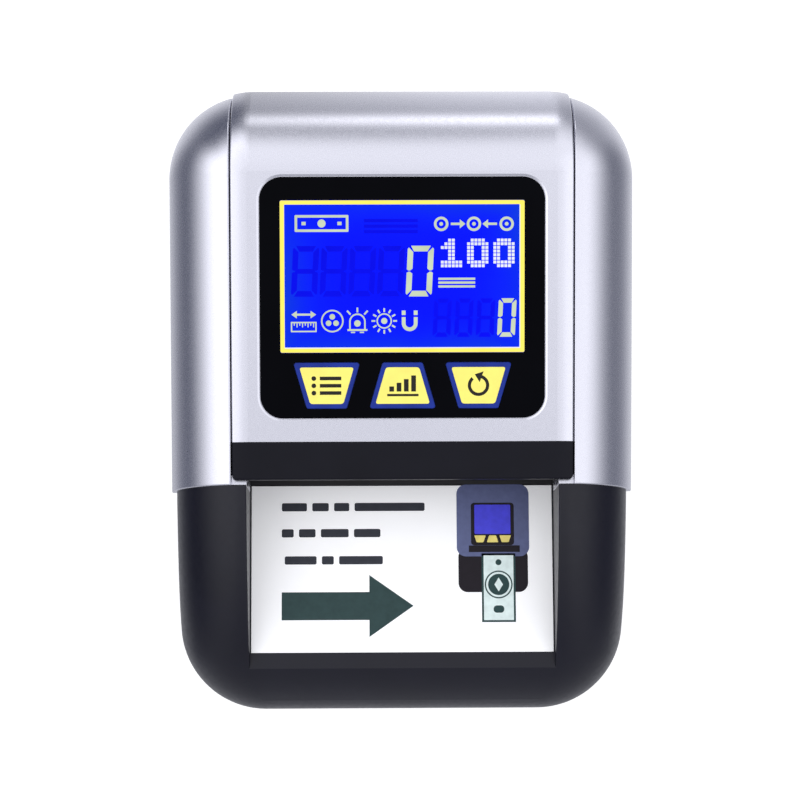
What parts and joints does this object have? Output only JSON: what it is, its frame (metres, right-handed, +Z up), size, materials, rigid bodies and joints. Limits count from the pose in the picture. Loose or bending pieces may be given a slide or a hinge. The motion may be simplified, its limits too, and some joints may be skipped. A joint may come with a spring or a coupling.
{
  "type": "counterfeit bill detector",
  "caption": "Counter-top note checker: black base with a feed tray between two arms, silver side cheeks, and a hinged silver cover with a blue lit display, keys and a note path below.",
  "frame": {"origin": "on the counter, under the middle of the overall box", "axes": "+Z up; +X to the right of the person who faces the display; +Y to the back, the way a note travels"},
  "size_m": [0.1386, 0.1828, 0.0767],
  "materials": {
    "silver_paint": "fine silver metallic paint, satin",
    "black_plastic": "black moulded plastic, low sheen",
    "chin_plastic": "black moulded plastic, satin",
    "label_film": "white printed film with a satin face",
    "panel_gloss": "gloss black",
    "key_plastic": "blue with a yellow face",
    "display_window": "clear window over a lit blue display",
    "lcd_glass": "liquid crystal cell",
    "white_plastic": "white light guide",
    "circuit_board": "green solder mask",
    "socket_plastic": "black moulded plastic",
    "sensor_window": "dark infrared window",
    "foot_rubber": "matt",
    "roller_rubber": "ground matt surface",
    "steel": "bright zinc plate",
    "brass": "machined",
    "gear_plastic": "natural nylon",
    "cell_wrap": "blue shrink wrap round two cells"
  },
  "bodies": {
    "base": {"base_shell": "black_plastic", "right_cheek": "silver_paint", "left_cheek": "silver_paint", "lower_guide_plate": "chin_plastic", "guide_label": "label_film", "right_side_plate": "steel", "left_side_plate": "steel", "shaft_bushes": "brass", "rubber_feet": "foot_rubber", "housing_screws": "steel", "hinge_pins": "steel", "battery_pack": "cell_wrap", "battery_door": "black_plastic", "motor": "steel", "idler_pin": "steel", "drive_belt": "foot_rubber", "encoder_sensor": "circuit_board", "magnetic_head": "steel", "lower_sensor_board": "circuit_board", "lower_sensor_window": "sensor_window", "main_board": "circuit_board", "buzzer": "socket_plastic", "chassis_screws": "steel", "dc_jack": "socket_plastic", "usb_port": "steel", "switch_housing": "socket_plastic"},
    "cover": {"cover_shell": "silver_paint", "front_chin": "chin_plastic", "control_panel": "panel_gloss", "display_lens": "display_window", "lcd_glass": "lcd_glass", "lcd_backlight": "white_plastic", "display_board": "circuit_board", "key_switches": "socket_plastic", "upper_guide_plate": "chin_plastic", "upper_sensor_board": "circuit_board", "upper_sensor_window": "sensor_window", "cover_screws": "steel", "pinch_springs": "steel"},
    "power_rocker_body": {"power_rocker": "socket_plastic"},
    "func_key_body": {"func_key": "key_plastic"},
    "total_key_body": {"total_key": "key_plastic"},
    "reset_key_body": {"reset_key": "key_plastic"},
    "front_drive": {"front_drive_shaft": "steel", "front_drive_rollers": "roller_rubber", "drive_gear": "gear_plastic", "front_pulley": "gear_plastic", "encoder_disk": "socket_plastic"},
    "rear_drive": {"rear_drive_shaft": "steel", "rear_drive_rollers": "roller_rubber", "rear_pulley": "gear_plastic"},
    "idler": {"idler_gear": "gear_plastic"},
    "motor_rotor": {"motor_shaft": "steel", "motor_pinion": "brass"},
    "front_pinch": {"front_pinch_axle": "steel", "front_pinch_rollers": "roller_rubber", "head_press_roller": "roller_rubber"},
    "rear_pinch": {"rear_pinch_axle": "steel", "rear_pinch_rollers": "roller_rubber"}
  },
  "joints": [
    {"name": "cover_hinge", "type": "hinge", "parent": "base", "child": "cover", "pos_m": [0, 0.083, 0.038], "axis": [-1, 0, 0], "range_deg": [0, 60]},
    {"name": "power_rocker_tilt", "type": "hinge", "parent": "base", "child": "power_rocker_body", "pos_m": [-0.0315, 0.0861, 0.0175], "axis": [1, 0, 0], "range_deg": [-16, 0]},
    {"name": "front_drive_spin", "type": "hinge", "parent": "base", "child": "front_drive", "pos_m": [0, 0.004, 0.0234], "axis": [1, 0, 0], "continuous": true},
    {"name": "rear_drive_spin", "type": "hinge", "parent": "base", "child": "rear_drive", "pos_m": [0, 0.064, 0.0234], "axis": [1, 0, 0], "continuous": true},
    {"name": "idler_spin", "type": "hinge", "parent": "base", "child": "idler", "pos_m": [0, 0.01457, 0.0155], "axis": [1, 0, 0], "continuous": true},
    {"name": "motor_spin", "type": "hinge", "parent": "base", "child": "motor_rotor", "pos_m": [0, 0.02718, 0.0155], "axis": [1, 0, 0], "continuous": true},
    {"name": "front_pinch_spin", "type": "hinge", "parent": "cover", "child": "front_pinch", "pos_m": [0, 0.004, 0.0366], "axis": [1, 0, 0], "continuous": true},
    {"name": "rear_pinch_spin", "type": "hinge", "parent": "cover", "child": "rear_pinch", "pos_m": [0, 0.064, 0.0366], "axis": [1, 0, 0], "continuous": true},
    {"name": "func_key_press", "type": "slide", "parent": "cover", "child": "func_key_body", "axis": [0, 0.2079, -0.9781], "range_m": [0, 0.0005], "stiffness_N_per_m": 300, "springref_m": -0.002},
    {"name": "total_key_press", "type": "slide", "parent": "cover", "child": "total_key_body", "axis": [0, 0.2079, -0.9781], "range_m": [0, 0.0005], "stiffness_N_per_m": 300, "springref_m": -0.002},
    {"name": "reset_key_press", "type": "slide", "parent": "cover", "child": "reset_key_body", "axis": [0, 0.2079, -0.9781], "range_m": [0, 0.0005], "stiffness_N_per_m": 300, "springref_m": -0.002}
  ],
  "couplings": [
    {"joint": "rear_drive_spin", "follows": "front_drive_spin", "ratio": 1},
    {"joint": "idler_spin", "follows": "front_drive_spin", "ratio": -2.1429},
    {"joint": "motor_spin", "follows": "front_drive_spin", "ratio": 5.3571},
    {"joint": "front_pinch_spin", "follows": "front_drive_spin", "ratio": -1.6},
    {"joint": "rear_pinch_spin", "follows": "front_drive_spin", "ratio": -1.6}
  ]
}
